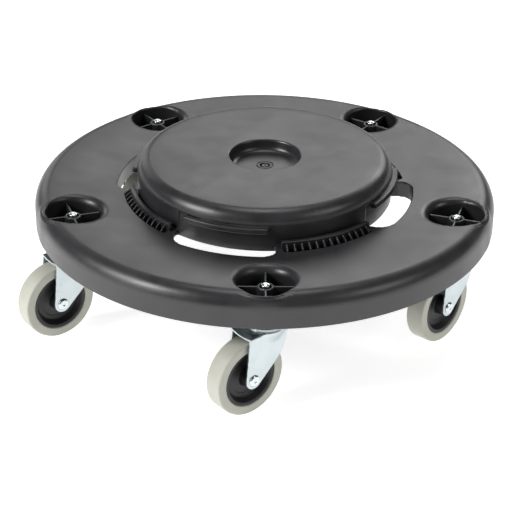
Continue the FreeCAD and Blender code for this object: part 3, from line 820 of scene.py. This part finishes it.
def leg_side(x, z):
    """Distance to the leg's outline seen from the side."""
    centre = Vector((TRAIL, AXLE_HEIGHT))
    tail = Vector((SHELF_TAIL, SHELF_HEIGHT))
    nose = Vector((-SHELF_NOSE, SHELF_HEIGHT))
    knee = Vector(KNEE)
    front = tangent_out(tail, centre, -1)
    rear = tangent_out(knee, centre, 1)
    down = (front + rear).normalized()
    chord = centre + down * LEG_ROUND * down.dot(front)
    step = (knee - nose).normalized()
    upper = half_plane(x, z, nose, Vector((step.y, -step.x)))
    lower = half_plane(x, z, knee, rear)
    wedge = np.maximum(half_plane(x, z, tail, front), half_plane(x, z, chord, down))
    wedge = np.maximum(wedge, round_common(upper, lower, 3))
    return np.minimum(wedge, np.hypot(x - centre.x, z - centre.y) - LEG_ROUND)


def half_plane(x, z, point, out):
    """Distance past a line through a point, along its outward direction."""
    return (x - point.x) * out.x + (z - point.y) * out.y


def tangent_out(point, centre, side):
    """Outward direction where a line from a point touches the leg's round end."""
    away = point - centre
    base = math.atan2(away.y, away.x) + math.acos(LEG_ROUND / away.length) * side
    return Vector((math.cos(base), math.sin(base)))


def nut_shape(x, y, z):
    """Hexagon lock nut about Z: chamfered flats and a round collar, bored for the bolt."""
    from_axis = np.hypot(x, y)
    seat = -FORK_HALF
    flats = []
    for turn in range(3):
        angle = math.radians(60 * turn)
        flats.append(np.abs(x * math.cos(angle) + y * math.sin(angle)) - NUT_ACROSS / 2)
    hexagon = np.maximum.reduce(flats)
    low, high = seat - NUT_THICK + 1.4, seat
    middle, half = (low + high) / 2, (high - low) / 2
    hexagon = round_common(hexagon, np.abs(z - middle) - half, 0.25)
    cone = (from_axis - NUT_ACROSS / 2 - 0.1) * 0.5 + (np.abs(z - middle) - half) * 0.87
    body = np.maximum(hexagon, cone)
    collar = round_common(from_axis - 5.7, seat - NUT_THICK - z, 0.9)
    collar = np.maximum(collar, z - seat + 1)
    return round_cut(round_join(body, collar, 0.4), from_axis - AXLE_RADIUS - 0.05, 0.4)


def core_outline():
    """Half section of the wheel core, mirrored about its middle."""
    face = TYRE_HALF - 0.5
    side = [
        (SLEEVE_RADIUS + 0.05, HUB_HALF, 0.3),
        (HUB_TIP, HUB_HALF, 0.7),
        (CORE_HUB, WEB_HALF + 0.2, 1.5),
        (WEB_OUTER - 4.6, WEB_HALF, 0.4),
        (WEB_OUTER - 4.2, WEB_HALF + 0.5, 0.3),
        (WEB_OUTER - 3.0, WEB_HALF + 0.5, 0.3),
        (WEB_OUTER, WEB_HALF + 0.1, 1.4),
        (RIM_INNER, face - 0.6, 1.0),
        (CORE_RADIUS - 0.7, face, 0.5),
        (CORE_RADIUS, face - 0.3, 0.1),
    ]
    return side + [(across, -up, radius) for across, up, radius in reversed(side)]


def tyre_outline():
    """Half section of the tread that is moulded round the core."""
    side = [
        (CORE_RADIUS + 0.05, TYRE_HALF - 0.75, 0.2),
        (CORE_RADIUS + 0.9, TYRE_HALF, 0.6),
        (WHEEL_RADIUS, TYRE_HALF, TYRE_ROUND),
    ]
    return side + [(across, -up, radius) for across, up, radius in reversed(side)]


def bolt_outline():
    """Half section of the axle bolt: a low dished head and a plain shank."""
    top = FORK_HALF + HEAD_HEIGHT
    end = -(FORK_HALF + NUT_THICK + BOLT_END)
    return [
        (0, top - 0.9, 0),
        (0.9, top - 0.9, 0.3),
        (1.6, top - 0.05, 0.3),
        (4.7, top - 0.22, 1.0),
        (HEAD_RADIUS - 0.2, FORK_HALF + 0.9, 0.7),
        (HEAD_RADIUS, FORK_HALF + 0.02, 0.15),
        (AXLE_RADIUS, FORK_HALF + 0.02, 0),
        (AXLE_RADIUS, end + 0.8, 0.2),
        (AXLE_RADIUS - 0.8, end, 0.2),
        (0, end, 0),
    ]


def stem_outline():
    """Half section of the stem, from the riveted king pin up to the stepped tip."""
    return [
        (0, RIVET_LOW, 0),
        (RIVET_RADIUS - 1.6, RIVET_LOW, 1.2),
        (RIVET_RADIUS, RIVET_HIGH - 0.6, 0.3),
        (RIVET_RADIUS, RIVET_HIGH, 0),
        (STEM_RADIUS, RIVET_HIGH, 0),
        (STEM_RADIUS, WELL_LOW - FLANGE_THICK, 0.2),
        (FLANGE_RADIUS, WELL_LOW - FLANGE_THICK, 0.4),
        (FLANGE_RADIUS, WELL_LOW, 0.2),
        (STEM_RADIUS, WELL_LOW, 0),
        (STEM_RADIUS, GROOVE_LOW, 0.2),
        (GROOVE_RADIUS, GROOVE_LOW, 0.2),
        (GROOVE_RADIUS, GROOVE_HIGH, 0.2),
        (STEM_RADIUS, GROOVE_HIGH, 0.2),
        (STEM_RADIUS, TIP_LOW, 0.2),
        (TIP_RADIUS, TIP_LOW + 1.4, 0.3),
        (TIP_RADIUS, STEM_TOP - 1.0, 1.0),
        (TIP_RADIUS - 2.4, STEM_TOP, 1.6),
        (0, STEM_TOP, 0),
    ]


def cup_outline():
    """Half section of the pressed dome over the upper ball race."""
    inner = CUP_RADIUS - CUP_THICK
    return [
        (STEM_RADIUS + 0.05, CUP_TOP, 0),
        (UPPER_CIRCLE - 3, CUP_TOP, 1.5),
        (UPPER_CIRCLE + 0.6, CUP_TOP - 1.8, 2.0),
        (CUP_RADIUS - 2.5, CUP_TOP - 3.6, 2.0),
        (CUP_RADIUS, CUP_TOP - 6, 1.6),
        (CUP_RADIUS, CUP_LOW, 0.5),
        (inner, CUP_LOW, 0.5),
        (inner, CUP_TOP - 6.6, 1.0),
        (CUP_RADIUS - 3.1, CUP_TOP - 5.1, 1.0),
        (UPPER_CIRCLE, CUP_TOP - 3.3, 1.5),
        (UPPER_CIRCLE - 3.4, CUP_TOP - CUP_THICK, 1.0),
        (STEM_RADIUS + 0.05, CUP_TOP - CUP_THICK, 0),
    ]


def washer_outline():
    """Half section of the lower race washer on the rivet."""
    inner = STEM_RADIUS + 0.05
    high = RIVET_HIGH + WASHER_THICK
    return [
        (inner, RIVET_HIGH, 0.2),
        (WASHER_RADIUS, RIVET_HIGH, 0.3),
        (WASHER_RADIUS, high, 0.3),
        (inner, high, 0.2),
    ]


def sleeve_outline():
    """Half section of the axle sleeve between the fork's legs."""
    end = FORK_HALF - FORK_THICK - 0.05
    return [
        (AXLE_RADIUS + 0.05, -end, 0.2),
        (SLEEVE_RADIUS, -end, 0.3),
        (SLEEVE_RADIUS, end, 0.3),
        (AXLE_RADIUS + 0.05, end, 0.2),
    ]


def build_casters():
    """Each kind of piece is made once, and every caster shares its mesh."""
    fork_step = 0.75
    fork_axes = (
        spaced((-22, 35, fork_step)),
        spaced((-21.5, 21.5, fork_step)),
        spaced((28, 76, fork_step * 1.3), (76, 90, fork_step)),
    )
    nut_level = spaced((-8, 8, 0.5))
    nut_low = -FORK_HALF - NUT_THICK - 0.8
    nut_axes = (nut_level, nut_level, spaced((nut_low, -FORK_HALF + 0.8, 0.45)))
    kinds = [
        (crisp(turned("stem", stem_outline(), 64)), "zinc_bright", "root", False),
        # The race cup takes the darker zinc copy, painted shade for its place under the deck.
        (crisp(turned("race_cup", cup_outline())), "race_steel", "root", False),
        (crisp(turned("race_washer", washer_outline(), 64)), "zinc_plate", "root", False),
        (new_piece("fork", *skin_over(fork_shape, fork_axes)), "zinc_plate", "swivel", False),
        (crisp(turned("axle_bolt", bolt_outline(), 64)), "zinc_bright", "swivel", True),
        (crisp(turned("axle_sleeve", sleeve_outline(), 64)), "zinc_plate", "swivel", True),
        (new_piece("axle_nut", *skin_over(nut_shape, nut_axes)), "zinc_bright", "swivel", True),
        (crisp(turned("wheel_core", core_outline(), 128)), "core_plastic", "wheel", True),
        (crisp(turned("tyre", tyre_outline(), 160, 8)), "tyre_rubber", "wheel", True),
    ]
    on_side = Matrix.Rotation(-math.pi / 2, 4, "X")
    for pattern, slot, part, on_axle in kinds:
        kind = pattern.name
        for name, caster in CASTERS.items():
            trail = caster["wheel"] - caster["stem"]
            heading = Matrix.Rotation(math.atan2(trail.y, trail.x), 4, "Z")
            if on_axle:
                spot = Matrix.Translation(caster["wheel"]) @ heading @ on_side
            else:
                spot = Matrix.Translation((caster["stem"].x, caster["stem"].y, 0)) @ heading
            piece = shown(f"{name}_{kind}_look", pattern.data)
            piece.matrix_world = spot
            body = "root" if part == "root" else f"{name}_{part}"
            finish(piece, slot, body, f"{name}_{kind}")
        bpy.data.objects.remove(pattern)


def finish_cad_nodes():
    """The bearing balls and grip rings stay CAD nodes, with their own finishes."""
    for name in CASTERS:
        for kind, slot in (("bearing_balls", "ball_steel"), ("grip_ring", "spring_steel")):
            node = frame["nodes"][f"{name}_{kind}"]
            for material_slot in node.material_slots:
                material_slot.material = MATERIALS[slot]


# ---- stage -----------------------------------------------------------------------------------


def build_stage():
    """A plain pale floor, a white surround and soft lights."""
    bpy.ops.mesh.primitive_plane_add(size=14, location=(0, 0, -0.0005))
    floor = bpy.context.active_object
    floor.name = "floor"
    material, tree, shader = blank_material("pale_floor")
    shader.inputs["Base Color"].default_value = (0.82, 0.82, 0.82, 1)
    shader.inputs["Roughness"].default_value = 0.8
    shader.inputs["Specular IOR Level"].default_value = 0.1
    shader.inputs["Emission Color"].default_value = (1, 1, 1, 1)
    shader.inputs["Emission Strength"].default_value = 0.8
    floor.data.materials.append(material)

    world = bpy.data.worlds.new("studio")
    bpy.context.scene.world = world
    world.use_nodes = True
    world.node_tree.nodes["Background"].inputs["Color"].default_value = (1, 1, 1, 1)
    world.node_tree.nodes["Background"].inputs["Strength"].default_value = 0.1

    softbox("back", (0, 1.82, 1.33), 1.1, 6)
    softbox("back_right", (0.82, 1.76, 1.13), 0.9, 7.5)
    softbox("back_left", (-1.05, 1.81, 0.78), 0.9, 3)
    softbox("top", (0, 0.31, 2.28), 0.9, 9)
    softbox("key", (-1.64, -0.75, 1.36), 0.8, 29)
    softbox("low", (-1.71, -1.2, 0.78), 0.9, 5)
    softbox("right", (1.5, -0.9, 1.3), 0.9, 6)


def build_camera():
    """A long lens on the front, looking down a little."""
    azimuth = math.radians(-0.54)
    elevation = math.radians(28.88)
    roll = math.radians(0.55)
    distance = 1.8241
    aim_height = 0.0461
    turn = Matrix.Rotation(azimuth, 4, "Z")
    aim = turn @ Vector((-0.0081, 0, aim_height))
    rise = aim_height + distance * math.sin(elevation)
    eye = turn @ Vector((0, -distance * math.cos(elevation), rise))
    camera = shown("camera", bpy.data.cameras.new("camera"))
    camera.data.lens = 123.79
    camera.data.sensor_width = 36
    camera.location = eye
    facing = (aim - eye).to_track_quat("-Z", "Y").to_matrix().to_4x4()
    camera.rotation_euler = (facing @ Matrix.Rotation(roll, 4, "Z")).to_euler()
    bpy.context.scene.camera = camera
    bpy.context.scene.view_settings.view_transform = "Standard"


def softbox(name, place, size, power):
    """A round soft light that faces the dolly."""
    light = bpy.data.lights.new(name, "AREA")
    light.shape = "DISK"
    light.size = size
    light.energy = power
    made = shown(name, light)
    made.location = place
    toward = Vector((0, 0, 0.1)) - Vector(place)
    made.rotation_euler = toward.to_track_quat("-Z", "Y").to_euler()


build_skin()
build_rails()
build_gate()
build_spiders()
build_ribs()
build_casters()
finish_cad_nodes()
build_stage()
build_camera()
